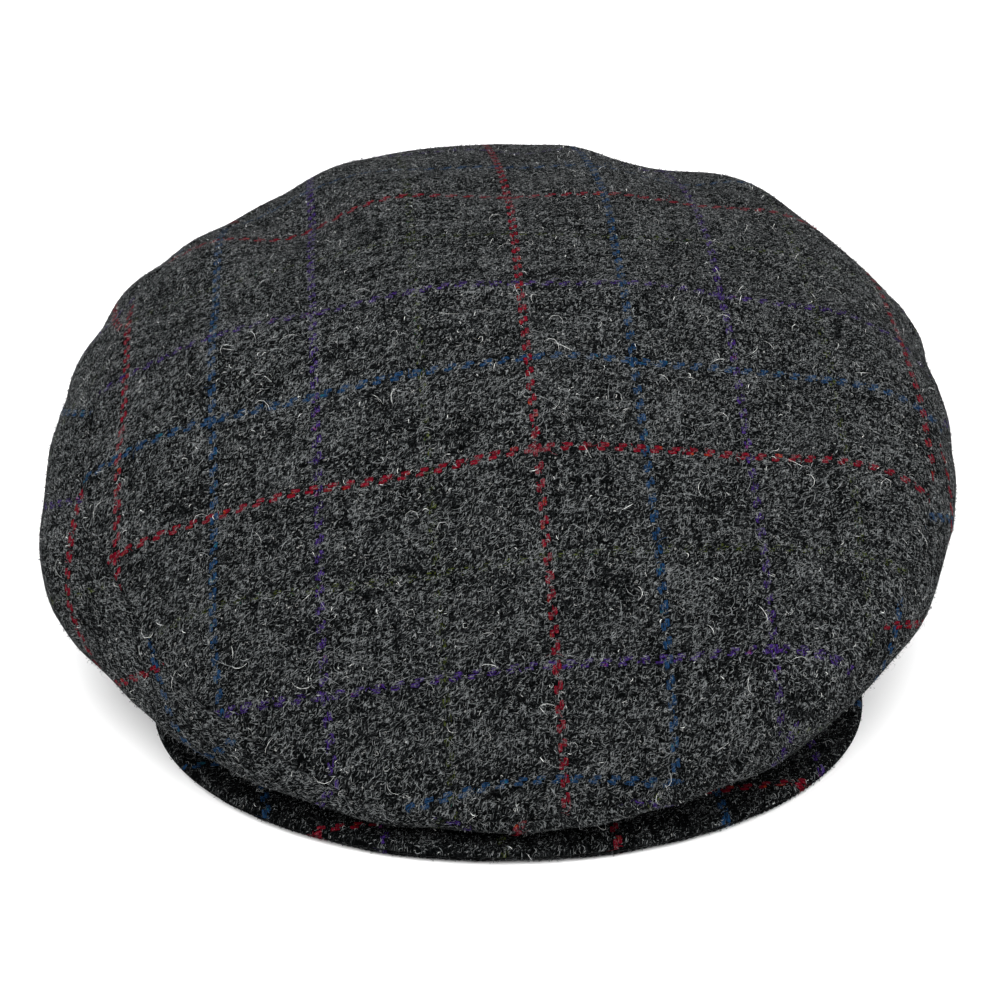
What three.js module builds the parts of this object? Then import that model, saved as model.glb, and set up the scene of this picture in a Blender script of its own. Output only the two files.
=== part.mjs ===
import * as THREE from 'three';

// A soft tweed flat cap that rests on its hem and peak.
// Millimetres and degrees. The peak points to -Y, the wearer's left is +X and the top is +Z.
// The origin is under the middle of the cap's box, on the resting plane.
// The sizes below have their own zero near the crown's centre line.
// Bearings run from the front (-Y) towards +X.

// Hem: the oval edge round the head opening
const HEM_HALF_WIDTH = 84.5;
const HEM_HALF_LENGTH = 100.5;
const HEM_CENTRE_Y = 20.5;
const HEM_WALL = 3.4;

// Crown: half widths of its widest edge, seen from above
const CROWN_CENTRE_Y = -4.5;
const CROWN_HALF_WIDTH = 122.5;
const CROWN_FRONT = { reach: 112.6, power: 2.6 };
const CROWN_BACK = { reach: 134.3, power: 1.89 };
const CROWN_HEIGHT = 103.1;
const CLOTH_WALL = 2.2;

// The soft crown has settled a little round and over to one side of the hem
const CROWN_TURN = -4.5;
const CROWN_LEAN = 1.2;

// Sizes that change round the crown, at its front, its two sides and its back
const EDGE_HEIGHT = { front: 9.6, side: 52, back: 52.6 };
const SLOPE_POWER = { front: 1.42, side: 0.98, back: 1.08 };
const SEAM_LIFT = { front: 2.3, side: 20, back: 18 };
const SEAM_ROLL = 8;
const FOLD_RADIUS = { front: 4.3, side: 22, back: 22 };
const HEM_TOP = { front: 5.4, side: 11, back: 11 };

// Dents (depth above 0) and ridges (depth below 0) in the top panel
const DENTS = [
  { name: 'left valley', x: -68, y: 43, along: 32, across: 13, turn: -61, depth: 5.5 },
  { name: 'left ridge', x: -40, y: 50, along: 34, across: 17, turn: -61, depth: -3.5 },
  { name: 'back dip', x: 1, y: 84, along: 20, across: 10, turn: 90, depth: 3 },
  { name: 'right hollow', x: 42, y: 84, along: 34, across: 16, turn: -72, depth: 4 },
  { name: 'right corner', x: 66, y: 86, along: 18, across: 11, turn: -50, depth: -4 },
];

// Peak: a crescent of two covers, sewn together along the outer edge
const PEAK_HALF_WIDTH = 94.5;
const PEAK_WIDEST_Y = -62;
const PEAK_REACH = 59.5;
const PEAK_THICKNESS = 4.7;
const PEAK_EDGE_RADIUS = 2.2;
const PEAK_EDGE_TURNS = [0, 25, 50, 75];
const PEAK_FLAT_ROWS = [0, 0.35, 0.7];
const HORN_BEARING = 72;
const HORN_WIDTH = 3;
const HORN_EDGE_SHARE = 0.6;
// The share of each half outline that lies ahead of the widest place
const PEAK_FRONT_SHARE = 0.7;

// Space left at a seam between two pieces of cloth
const SEAM_GAP = 0.3;

// Facets
const BEARINGS = 64;
const TOP_ROWS = 16;
const SHOULDER_ROWS = 2;
const FOLD_ROWS = 4;
const UNDER_ROWS = 3;
const BAND_ROWS = 2;
const PEAK_STATIONS = 32;

const TWEED = { color: 0x2d2e30, roughness: 0.95, metalness: 0 };
const UNDER_TWEED = { color: 0x252628, roughness: 0.96, metalness: 0 };

const radians = THREE.MathUtils.degToRad;

// A size at one bearing, from its sizes at the front, the sides and the back
function around(bearing, sizes) {
  const c = Math.cos(bearing);
  const end = c > 0 ? sizes.front : sizes.back;
  return sizes.side + (end - sizes.side) * c * c;
}

// The crown's widest edge, from the crown's centre line
function crownRadius(bearing) {
  const c = Math.cos(bearing);
  const { reach, power } = c > 0 ? CROWN_FRONT : CROWN_BACK;
  const across = Math.abs(Math.sin(bearing)) / CROWN_HALF_WIDTH;
  const along = Math.abs(c) / reach;
  return (across ** power + along ** power) ** (-1 / power);
}

// The hem's outer oval, from the crown's centre line: where a ray at this bearing leaves it
function hemRadius(bearing) {
  const across = Math.sin(bearing) / HEM_HALF_WIDTH;
  const along = -Math.cos(bearing) / HEM_HALF_LENGTH;
  const start = (CROWN_CENTRE_Y - HEM_CENTRE_Y) / HEM_HALF_LENGTH;
  const a = across * across + along * along;
  const b = along * start;
  return (-b + Math.sqrt(b * b - a * (start * start - 1))) / a;
}

function dentDepth(x, y) {
  let depth = 0;
  for (const dent of DENTS) {
    const turn = radians(dent.turn);
    const dx = x - dent.x;
    const dy = y - dent.y;
    const u = (dx * Math.cos(turn) + dy * Math.sin(turn)) / dent.along;
    const v = (dy * Math.cos(turn) - dx * Math.sin(turn)) / dent.across;
    depth += dent.depth * Math.exp(-u * u - v * v);
  }
  return depth;
}

// One row of a section: its distance from the centre line and its height.
// slope runs from 0 at the top of the crown to a right angle at the widest edge.
function topRow(bearing, slope) {
  const edge = around(bearing, EDGE_HEIGHT);
  const r = crownRadius(bearing) * Math.sin(slope);
  const rise = Math.max(Math.cos(slope), 0) ** around(bearing, SLOPE_POWER);
  const dent = dentDepth(r * Math.sin(bearing), CROWN_CENTRE_Y - r * Math.cos(bearing));
  return { r, z: edge + (CROWN_HEIGHT - edge) * rise - dent };
}

// The slope at which the seam round the top panel lies
function seamSlope(bearing) {
  const rise = CROWN_HEIGHT - around(bearing, EDGE_HEIGHT);
  const lift = around(bearing, SEAM_LIFT) - SEAM_ROLL * Math.sin(bearing);
  return Math.acos((lift / rise) ** (1 / around(bearing, SLOPE_POWER)));
}

// Half a seam gap, as a step in slope
function seamStep(bearing, slope) {
  const probe = 0.01;
  const a = topRow(bearing, slope - probe);
  const b = topRow(bearing, slope + probe);
  return (SEAM_GAP / 2) * (2 * probe) / Math.hypot(b.r - a.r, b.z - a.z);
}

// The side below the widest edge: a round fold, a straight run in, and the upright hem band
function underRows(bearing) {
  const edge = around(bearing, EDGE_HEIGHT);
  const radius = around(bearing, FOLD_RADIUS);
  const hem = { r: hemRadius(bearing), z: around(bearing, HEM_TOP) };
  const centre = { r: crownRadius(bearing) - radius, z: edge };
  const dr = hem.r - centre.r;
  const dz = hem.z - centre.z;
  const sweep = -Math.atan2(dz, dr) - Math.acos(radius / Math.hypot(dr, dz));
  const rows = [];
  for (let i = 1; i <= FOLD_ROWS; i++) {
    const angle = (sweep * i) / FOLD_ROWS;
    rows.push({ r: centre.r + radius * Math.cos(angle), z: centre.z - radius * Math.sin(angle) });
  }
  const start = rows.at(-1);
  for (let i = 1; i <= UNDER_ROWS; i++) {
    const t = i / UNDER_ROWS;
    rows.push({ r: start.r + (hem.r - start.r) * t, z: start.z + (hem.z - start.z) * t });
  }
  for (let i = 1; i <= BAND_ROWS; i++) {
    rows.push({ r: hem.r, z: hem.z * (1 - i / BAND_ROWS), band: true });
  }
  return rows;
}

// The whole section at one bearing, from the top of the crown to the foot of the hem
function section(bearing) {
  const seam = seamSlope(bearing);
  const step = seamStep(bearing, seam);
  const top = [];
  for (let i = 0; i <= TOP_ROWS; i++) {
    top.push(topRow(bearing, ((seam - step) * i) / TOP_ROWS));
  }
  const side = [];
  for (let i = 0; i <= SHOULDER_ROWS; i++) {
    const t = i / SHOULDER_ROWS;
    side.push(topRow(bearing, (seam + step) * (1 - t) + (Math.PI / 2) * t));
  }
  side.push(...underRows(bearing));
  const rows = [...top, ...side];
  addWall(rows, top.length - 1);
  addSettling(rows, top.length + SHOULDER_ROWS);
  return { top, side };
}

// Gives each row its inner point, square to the cloth. The rows on both sides of the seam,
// at index last and last + 1, share one direction, so that the cut edges are parallel.
function addWall(rows, last) {
  rows.forEach((row, i) => {
    let before = rows[Math.max(i - 1, 0)];
    let after = rows[Math.min(i + 1, rows.length - 1)];
    if (i === last) after = rows[last + 2];
    if (i === last + 1) before = rows[last - 1];
    const dr = after.r - before.r;
    const dz = after.z - before.z;
    const length = Math.hypot(dr, dz);
    const foot = i === rows.length - 1;
    const wall = row.band ? HEM_WALL : CLOTH_WALL;
    row.innerR = i === 0 ? 0 : row.r + (foot ? -wall : (wall * dz) / length);
    row.innerZ = i === 0 ? row.z - wall : row.z - (foot ? 0 : (wall * dr) / length);
  });
}

// How far each row follows the settled crown: fully down to the widest edge, not at all at the hem
function addSettling(rows, edge) {
  const lengths = rows.map(() => 0);
  for (let i = edge + 1; i < rows.length; i++) {
    const step = rows[i].band ? 0 : Math.hypot(rows[i].r - rows[i - 1].r, rows[i].z - rows[i - 1].z);
    lengths[i] = lengths[i - 1] + step;
  }
  rows.forEach((row, i) => {
    row.settled = 1 - THREE.MathUtils.smoothstep(lengths[i] / lengths.at(-1), 0, 1);
  });
}

// A point in space, turned and leant with the settled crown.
// offset keeps the cut edges of the two side panels apart at the centre seams.
function place(bearing, r, z, settled, offset) {
  const point = new THREE.Vector3(r * Math.sin(bearing) + offset, CROWN_CENTRE_Y - r * Math.cos(bearing), z);
  point.applyAxisAngle(new THREE.Vector3(0, 0, 1), radians(CROWN_TURN) * settled);
  point.applyAxisAngle(new THREE.Vector3(0, 1, 0), -radians(CROWN_LEAN) * settled);
  return point;
}

function placeRows(rows, bearing, offset) {
  return {
    outer: rows.map((row) => place(bearing, row.r, row.z, row.settled, offset)),
    inner: rows.map((row) => place(bearing, row.innerR, row.innerZ, row.settled, offset)),
  };
}

// Collects vertices and triangles of one closed body
class Body {
  constructor() {
    this.points = [];
    this.triangles = [];
  }

  add(point) {
    this.points.push(point);
    return this.points.length - 1;
  }

  quad(a, b, c, d) {
    this.triangles.push([a, b, c], [a, c, d]);
  }

  // Six times the volume: below zero when the faces point inwards
  volume() {
    let sum = 0;
    for (const [a, b, c] of this.triangles) {
      const normal = new THREE.Vector3().crossVectors(this.points[b], this.points[c]);
      sum += this.points[a].dot(normal);
    }
    return sum;
  }

  mesh(name, finish) {
    if (this.volume() < 0) this.triangles.forEach((triangle) => triangle.reverse());
    const geometry = new THREE.BufferGeometry();
    const positions = this.points.flatMap((point) => point.toArray());
    geometry.setAttribute('position', new THREE.Float32BufferAttribute(positions, 3));
    geometry.setIndex(this.triangles.flat());
    geometry.computeVertexNormals();
    const mesh = new THREE.Mesh(geometry, new THREE.MeshStandardMaterial(finish));
    mesh.name = name;
    return mesh;
  }
}

// A wall of cloth between two grids of points, closed along all four edges
function clothPanel(name, columns, finish) {
  const body = new Body();
  const outer = columns.map((column) => column.outer.map((point) => body.add(point)));
  const inner = columns.map((column) => column.inner.map((point) => body.add(point)));
  const lastColumn = columns.length - 1;
  const lastRow = outer[0].length - 1;
  for (let i = 0; i < lastColumn; i++) {
    for (let j = 0; j < lastRow; j++) {
      body.quad(outer[i][j], outer[i][j + 1], outer[i + 1][j + 1], outer[i + 1][j]);
      body.quad(inner[i][j], inner[i + 1][j], inner[i + 1][j + 1], inner[i][j + 1]);
    }
    body.quad(outer[i][0], outer[i + 1][0], inner[i + 1][0], inner[i][0]);
    body.quad(outer[i][lastRow], inner[i][lastRow], inner[i + 1][lastRow], outer[i + 1][lastRow]);
  }
  for (let j = 0; j < lastRow; j++) {
    body.quad(outer[0][j], inner[0][j], inner[0][j + 1], outer[0][j + 1]);
    const a = outer[lastColumn];
    const b = inner[lastColumn];
    body.quad(a[j], a[j + 1], b[j + 1], b[j]);
  }
  return body.mesh(name, finish);
}

// The top panel: rings of cloth round one point at the top of the crown, down to the seam
function topPanel() {
  const columns = [];
  for (let i = 0; i < BEARINGS; i++) {
    const bearing = (2 * Math.PI * i) / BEARINGS;
    columns.push(placeRows(section(bearing).top, bearing, 0));
  }
  const body = new Body();
  const apex = body.add(columns[0].outer[0]);
  const innerApex = body.add(columns[0].inner[0]);
  const outer = columns.map((column) => column.outer.slice(1).map((point) => body.add(point)));
  const inner = columns.map((column) => column.inner.slice(1).map((point) => body.add(point)));
  for (let i = 0; i < BEARINGS; i++) {
    const a = outer[i];
    const b = outer[(i + 1) % BEARINGS];
    const c = inner[i];
    const d = inner[(i + 1) % BEARINGS];
    body.triangles.push([apex, a[0], b[0]], [innerApex, d[0], c[0]]);
    for (let j = 0; j < TOP_ROWS - 1; j++) {
      body.quad(a[j], a[j + 1], b[j + 1], b[j]);
      body.quad(c[j], d[j], d[j + 1], c[j + 1]);
    }
    body.quad(a.at(-1), c.at(-1), d.at(-1), b.at(-1));
  }
  return body.mesh('crown_top', TWEED);
}

// One side panel, from the centre front round to the centre back. side is 1 at +X and -1 at -X.
function sidePanel(name, side) {
  const columns = [];
  const count = BEARINGS / 2;
  for (let i = 0; i <= count; i++) {
    const bearing = (side * Math.PI * i) / count;
    const atSeam = i === 0 || i === count;
    columns.push(placeRows(section(bearing).side, bearing, atSeam ? (side * SEAM_GAP) / 2 : 0));
  }
  return clothPanel(name, columns, TWEED);
}

// The peak's outer edge in plan, for a share from -1 at the -X horn to 1 at the +X horn
function peakEdge(share) {
  const side = Math.sign(share);
  const distance = Math.abs(share);
  if (distance <= PEAK_FRONT_SHARE) {
    const angle = ((distance / PEAK_FRONT_SHARE) * Math.PI) / 2;
    const x = side * PEAK_HALF_WIDTH * Math.sin(angle);
    return new THREE.Vector2(x, PEAK_WIDEST_Y - PEAK_REACH * Math.cos(angle));
  }
  const t = (distance - PEAK_FRONT_SHARE) / (1 - PEAK_FRONT_SHARE);
  const horn = peakRoot(1).add(new THREE.Vector2(HORN_WIDTH, 0));
  const x = PEAK_HALF_WIDTH + (horn.x - PEAK_HALF_WIDTH) * t * t;
  return new THREE.Vector2(side * x, PEAK_WIDEST_Y + (horn.y - PEAK_WIDEST_Y) * t);
}

// The peak's root, just clear of the hem's outer face
function peakRoot(share) {
  const angle = radians(HORN_BEARING) * share;
  const x = (HEM_HALF_WIDTH + SEAM_GAP) * Math.sin(angle);
  return new THREE.Vector2(x, HEM_CENTRE_Y - (HEM_HALF_LENGTH + SEAM_GAP) * Math.cos(angle));
}

// One cover of the peak. Its rounded half of the edge turns towards the other cover.
function peakCover(name, upper, finish) {
  const middle = PEAK_THICKNESS / 2;
  const flatHeight = upper ? middle + SEAM_GAP / 2 : middle - SEAM_GAP / 2;
  const sign = upper ? 1 : -1;
  const columns = [];
  for (let i = 0; i <= PEAK_STATIONS; i++) {
    const share = (2 * i) / PEAK_STATIONS - 1;
    const root = peakRoot(share);
    const edge = peakEdge(share);
    const width = root.distanceTo(edge);
    const radius = Math.min(PEAK_EDGE_RADIUS, HORN_EDGE_SHARE * width);
    const rows = PEAK_FLAT_ROWS.map((t) => ({ t: t * (1 - radius / width), height: middle }));
    for (const turn of PEAK_EDGE_TURNS) {
      const angle = radians(turn);
      rows.push({ t: 1 - (radius / width) * (1 - Math.sin(angle)), height: middle * Math.cos(angle) });
    }
    const plan = rows.map((row) => root.clone().lerp(edge, row.t));
    columns.push({
      outer: plan.map((p, j) => new THREE.Vector3(p.x, p.y, middle + sign * rows[j].height)),
      inner: plan.map((p) => new THREE.Vector3(p.x, p.y, flatHeight)),
    });
  }
  return clothPanel(name, columns, finish);
}

const cap = new THREE.Group();
cap.add(
  topPanel(),
  sidePanel('side_panel_left', 1),
  sidePanel('side_panel_right', -1),
  peakCover('peak_top_cover', true, TWEED),
  peakCover('peak_under_cover', false, UNDER_TWEED),
);

// Moves the origin under the middle of the whole cap
const box = new THREE.Box3().setFromObject(cap);
const middle = box.getCenter(new THREE.Vector3());
cap.position.set(-middle.x, -middle.y, -box.min.z);

export default cap;
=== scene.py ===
import math

import bpy
import numpy as np
from mathutils import Matrix, Vector


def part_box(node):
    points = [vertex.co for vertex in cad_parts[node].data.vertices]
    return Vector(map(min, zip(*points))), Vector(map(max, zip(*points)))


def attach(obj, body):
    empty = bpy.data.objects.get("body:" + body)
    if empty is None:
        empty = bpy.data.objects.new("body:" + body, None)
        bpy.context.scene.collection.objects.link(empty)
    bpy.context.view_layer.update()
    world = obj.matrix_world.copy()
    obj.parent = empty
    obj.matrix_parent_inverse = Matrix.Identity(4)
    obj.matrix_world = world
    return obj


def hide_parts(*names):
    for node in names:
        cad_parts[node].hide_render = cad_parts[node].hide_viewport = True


# A soft tweed flat cap, seen from the front and above, on a plain pale floor.
# Sizes are in millimetres and degrees, as in the part's source, until the meshes are written.
# The peak points to -Y, the wearer's left is +X. Bearings run from the front towards +X.

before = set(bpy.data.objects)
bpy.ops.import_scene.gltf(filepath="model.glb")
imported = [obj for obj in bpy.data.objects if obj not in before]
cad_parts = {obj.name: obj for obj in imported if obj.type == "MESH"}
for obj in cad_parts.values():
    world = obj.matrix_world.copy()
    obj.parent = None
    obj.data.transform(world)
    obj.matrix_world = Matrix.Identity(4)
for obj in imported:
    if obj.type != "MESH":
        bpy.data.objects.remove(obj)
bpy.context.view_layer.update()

# Hem: the oval edge round the head opening
HEM_HALF_WIDTH = 84.5
HEM_HALF_LENGTH = 100.5
HEM_CENTRE_Y = 20.5
HEM_WALL = 3.4

# Crown: half widths of its widest edge, seen from above
CROWN_CENTRE_Y = -4.5
CROWN_HALF_WIDTH = 122.5
CROWN_FRONT = {"reach": 114.8, "power": 2.6}
CROWN_BACK = {"reach": 134.3, "power": 1.89}
CROWN_HEIGHT = 103.1
CLOTH_WALL = 2.2
CROWN_TURN = -4.5
CROWN_LEAN = 1.2

# Sizes that change round the crown, at its front, its two sides and its back
EDGE_HEIGHT = {"front": 10.4, "side": 52, "back": 52.6}
SLOPE_POWER = {"front": 1.42, "side": 0.98, "back": 1.08}
SEAM_LIFT = {"front": 2.3, "side": 20, "back": 18}
SEAM_ROLL = 8
FOLD_RADIUS = {"front": 2.7, "side": 22, "back": 22}
HEM_TOP = {"front": 5.4, "side": 11, "back": 11}

# Places where the crown's widest edge stands up off the peak
EDGE_LIFTS = [
    {"bearing": -30, "spread": 11, "up": 2.6},
    {"bearing": 27, "spread": 10, "up": 1.9},
]

# Places where the seam between the top and a side panel runs higher than its even line
SEAM_RISES = [
    {"bearing": -55, "spread": 13, "up": 3.8},
    {"bearing": -28, "spread": 8, "up": 2.3},
    {"bearing": 28, "spread": 14, "up": 3.4},
    {"bearing": 70, "spread": 13, "up": 5.5},
]

# Dents (depth above 0) and ridges (depth below 0) in the top panel
DENTS = [
    {"x": -68, "y": 43, "along": 32, "across": 13, "turn": -61, "depth": 5.5},
    {"x": -40, "y": 50, "along": 34, "across": 17, "turn": -61, "depth": -3.5},
    {"x": 1, "y": 84, "along": 20, "across": 10, "turn": 90, "depth": 3},
    {"x": 42, "y": 84, "along": 34, "across": 16, "turn": -72, "depth": 4},
    {"x": 66, "y": 86, "along": 18, "across": 11, "turn": -50, "depth": -4},
]

# Places round the crown's edge where the soft cloth hangs out or in a little
SWELLS = [
    {"bearing": -87, "spread": 14, "out": -1.9},
    {"bearing": -59, "spread": 7, "out": 2.2},
    {"bearing": -43, "spread": 7, "out": -2.2},
    {"bearing": 50, "spread": 8, "out": -2.4},
    {"bearing": 98, "spread": 9, "out": -2.3},
]

# Peak: a crescent of two covers, sewn together along the outer edge
PEAK_HALF_WIDTH = 94.5
PEAK_WIDEST_Y = -62
PEAK_REACH = 59.5
PEAK_THICKNESS = 4.7
PEAK_EDGE_RADIUS = 2.2
HORN_BEARING = 72
HORN_WIDTH = 3
HORN_EDGE_SHARE = 0.6
PEAK_FRONT_SHARE = 0.7

# Space left at a seam between two pieces of cloth
SEAM_GAP = 0.3

# How the cloth turns in at a seam: a groove, with a soft puckered lip on each side of it
GROOVE = {"depth": 0.2, "reach": 0.6}
LIP = {"height": 0.08, "away": 2.4, "reach": 1.7}
PUCKER = {"share": 0.6, "length": 12}

# Above the hem: how far its doubled cloth stays stiff, and how far its thicker wall thins out
HEM_STIFF = 12
HEM_TURN_UP = 5

# Soft waves of the cloth: height and length
TOP_WAVES = [(0.4, 44), (0.15, 17)]
SIDE_WAVES = [(0.4, 34), (0.15, 14)]
PEAK_WAVES = [(0.12, 30), (0.05, 8)]
SEEDS = {"puckers": 5, "top_waves": 20, "side_waves": 40, "peak_waves": 60}

# Woven check: yarns per check, the size of one yarn, how its lines slant across the cap, where
# the first red lines lie on the crown and the peak, and the peak's stretch across
CHECK_YARNS = 24
YARN = 27.2 / CHECK_YARNS
CHECK_SKEW_X = 0.16
CHECK_SKEW_Y = -0.12
RED_COLUMN_X = 4.5
PEAK_RED_COLUMN_X = 7.6
PEAK_RED_ROW_Y = -107
PEAK_STRETCH = 1.05

# Where rows of the check cross the crown's middle line, and their number from the first red one
CHECK_ROWS = [(-116.5, -3), (-103, -2), (-69.5, 0), (-47, 1), (-18, 2), (30.5, 4)]

# Places on the top where the soft cloth is pulled, so that rows or columns leave their even lines
ROW_PULLS = [
    {"x": -90, "y": -110, "spread": 30, "by": -6},
    {"x": 50, "y": -110, "spread": 30, "by": 4},
    {"x": 110, "y": -70, "spread": 30, "by": -5},
    {"x": 10, "y": -50, "spread": 30, "by": -5},
    {"x": 110, "y": -20, "spread": 30, "by": -7},
    {"x": -90, "y": 40, "spread": 30, "by": -14},
    {"x": -10, "y": 40, "spread": 50, "by": -4},
    {"x": 90, "y": 70, "spread": 50, "by": -17},
]
COLUMN_PULLS = [
    {"x": -50, "y": -110, "spread": 30, "by": 3.5},
    {"x": -110, "y": -90, "spread": 30, "by": 4},
    {"x": 90, "y": -50, "spread": 50, "by": 3},
    {"x": 10, "y": 40, "spread": 50, "by": -2},
]

# Mesh resolution, and how far rows crowd together towards the seam
BEARINGS = 336
TOP_ROWS = 112
TOP_INNER_STEP = 3
ROW_CROWDING = 1.3
SHOULDER_ROWS = 30
FOLD_ROWS = 20
UNDER_ROWS = 24
BAND_ROWS = 6
FOOT_ROWS = 6
PEAK_STATIONS = 640
PEAK_FLAT_ROWS = 12
PEAK_EDGE_ROWS = 9

# How far round the hem's foot and the peak's edge the outside goes before it meets the other side
FOOT_TURN = 85
PEAK_EDGE_TURN = 80


def around(bearing, sizes):
    """A size at each bearing, from its sizes at the front, the sides and the back."""
    c = np.cos(bearing)
    end = np.where(c > 0, sizes["front"], sizes["back"])
    return sizes["side"] + (end - sizes["side"]) * c * c


def smoothstep(value, low, high):
    t = np.clip((value - low) / (high - low), 0, 1)
    return t * t * (3 - 2 * t)


def bumps_round(bearing, table, size):
    """The sum of a table's bumps at each bearing."""
    total = 0 * bearing
    for bump in table:
        away = (np.degrees(bearing) - bump["bearing"] + 180) % 360 - 180
        total = total + bump[size] * np.exp(-((away / bump["spread"]) ** 2))
    return total


def crown_radius(bearing):
    """The crown's widest edge, from the crown's centre line."""
    c = np.cos(bearing)
    reach = np.where(c > 0, CROWN_FRONT["reach"], CROWN_BACK["reach"])
    power = np.where(c > 0, CROWN_FRONT["power"], CROWN_BACK["power"])
    across = np.abs(np.sin(bearing)) / CROWN_HALF_WIDTH
    even = (across**power + (np.abs(c) / reach) ** power) ** (-1 / power)
    return even + bumps_round(bearing, SWELLS, "out")


def edge_height(bearing):
    return around(bearing, EDGE_HEIGHT) + bumps_round(bearing, EDGE_LIFTS, "up")


def hem_radius(bearing):
    """The hem's outer oval, from the crown's centre line."""
    across = np.sin(bearing) / HEM_HALF_WIDTH
    along = -np.cos(bearing) / HEM_HALF_LENGTH
    start = (CROWN_CENTRE_Y - HEM_CENTRE_Y) / HEM_HALF_LENGTH
    a = across**2 + along**2
    b = along * start
    return (-b + np.sqrt(b * b - a * (start * start - 1))) / a


def dent_depth(x, y):
    depth = 0 * x
    for dent in DENTS:
        turn = math.radians(dent["turn"])
        dx = x - dent["x"]
        dy = y - dent["y"]
        u = (dx * math.cos(turn) + dy * math.sin(turn)) / dent["along"]
        v = (dy * math.cos(turn) - dx * math.sin(turn)) / dent["across"]
        depth = depth + dent["depth"] * np.exp(-u * u - v * v)
    return depth


def top_rows(bearing, slope):
    """Distance from the centre line and height on the top, for slopes up to a right angle."""
    edge = edge_height(bearing)
    r = crown_radius(bearing) * np.sin(slope)
    rise = np.clip(np.cos(slope), 0, None) ** around(bearing, SLOPE_POWER)
    dent = dent_depth(r * np.sin(bearing), CROWN_CENTRE_Y - r * np.cos(bearing))
    return r, edge + (CROWN_HEIGHT - edge) * rise - dent


def seam_slope(bearing, rises=SEAM_RISES):
    rise = CROWN_HEIGHT - edge_height(bearing)
    lift = around(bearing, SEAM_LIFT) - SEAM_ROLL * np.sin(bearing)
    lift = lift - bumps_round(bearing, EDGE_LIFTS, "up") + bumps_round(bearing, rises, "up")
    return np.arccos((lift / rise) ** (1 / around(bearing, SLOPE_POWER)))


def seam_step(bearing, slope):
    """Half a seam gap, as a step in slope."""
    probe = 0.01
    r0, z0 = top_rows(bearing, slope - probe)
    r1, z1 = top_rows(bearing, slope + probe)
    return (SEAM_GAP / 2) * (2 * probe) / np.hypot(r1 - r0, z1 - z0)


def under_rows(bearing):
    """The side below the widest edge: a round fold, a straight run in, the hem band and its foot."""
    radius = around(bearing, FOLD_RADIUS)
    edge = edge_height(bearing)
    hem = hem_radius(bearing)
    hem_top = around(bearing, HEM_TOP)
    centre = crown_radius(bearing) - radius
    dr = hem - centre
    dz = hem_top - edge
    sweep = -np.arctan2(dz, dr) - np.arccos(radius / np.hypot(dr, dz))
    angle = sweep * np.linspace(0, 1, FOLD_ROWS + 1)[1:]
    fold_r = centre + radius * np.cos(angle)
    fold_z = edge - radius * np.sin(angle)
    t = np.linspace(0, 1, UNDER_ROWS + 1)[1:]
    run_r = fold_r[:, -1:] + (hem - fold_r[:, -1:]) * t
    run_z = fold_z[:, -1:] + (hem_top - fold_z[:, -1:]) * t
    foot = HEM_WALL / 2
    band_z = hem_top + (foot - hem_top) * np.linspace(0, 1, BAND_ROWS + 1)[1:]
    turn = np.radians(FOOT_TURN) * np.linspace(0, 1, FOOT_ROWS + 1)[1:]
    foot_r = hem - foot * (1 - np.cos(turn))
    foot_z = foot * (1 - np.sin(turn)) + 0 * hem
    r = np.concatenate([fold_r, run_r, band_z * 0 + hem, foot_r], 1)
    return r, np.concatenate([fold_z, run_z, band_z, foot_z], 1)


def settled_share(r, z, edge_row, hem_row):
    """How far each row follows the settled crown: fully to the widest edge, not at all at the hem."""
    length = path_length(np.stack([r, z], -1))
    length = length - length[:, edge_row : edge_row + 1]
    return 1 - smoothstep(length / length[:, hem_row : hem_row + 1], 0, 1)


def place(bearing, r, z, settled):
    """Points in space, turned and leant with the settled crown."""
    x = r * np.sin(bearing)
    y = CROWN_CENTRE_Y - r * np.cos(bearing)
    turn = math.radians(CROWN_TURN) * settled
    lean = math.radians(CROWN_LEAN) * settled
    x, y = x * np.cos(turn) - y * np.sin(turn), x * np.sin(turn) + y * np.cos(turn)
    return np.stack([x * np.cos(lean) - z * np.sin(lean), y, x * np.sin(lean) + z * np.cos(lean)], -1)


# Moves from the sizes' own zero to the middle of the cap's box, which is the frame's origin
PEAK_LOW, PEAK_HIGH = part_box("peak_top_cover")
OFFSET = np.array([
    500 * (PEAK_LOW[0] + PEAK_HIGH[0]),
    1000 * PEAK_LOW[1] - (PEAK_WIDEST_Y - PEAK_REACH),
    0,
])


def ripple(points, length, seed, count=10):
    """A smooth random field of about unit height, the same in each run."""
    rng = np.random.default_rng(seed)
    total = np.zeros(points.shape[:-1])
    for _ in range(count):
        direction = rng.normal(size=3)
        direction /= np.linalg.norm(direction)
        pitch = length * rng.uniform(0.75, 1.35)
        total += np.sin(points @ direction * (2 * math.pi / pitch) + rng.uniform(0, 2 * math.pi))
    return total / math.sqrt(count / 2)


def waves(points, sizes, seed):
    total = np.zeros(points.shape[:-1])
    for i, (height, length) in enumerate(sizes):
        total += height * ripple(points, length, seed + i)
    return total


def seam_relief(away, points):
    """The groove and lips beside a seam, at distances away from it."""
    groove = -GROOVE["depth"] * np.exp(-((away / GROOVE["reach"]) ** 2))
    lip = LIP["height"] * np.exp(-(((away - LIP["away"]) / LIP["reach"]) ** 2))
    pucker = ripple(points, PUCKER["length"], SEEDS["puckers"])
    return groove + lip * (1 + PUCKER["share"] * pucker)


def grid_normals(points, ring):
    """Unit normals of a grid of points, pointing out of the cap where its faces aren't mirrored."""
    if ring:
        along = np.roll(points, -1, 0) - np.roll(points, 1, 0)
    else:
        along = np.gradient(points, axis=0)
    down = np.gradient(points, axis=1)
    normal = np.cross(down, along)
    return normal / np.maximum(np.linalg.norm(normal, axis=-1, keepdims=True), 1e-9)


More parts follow.
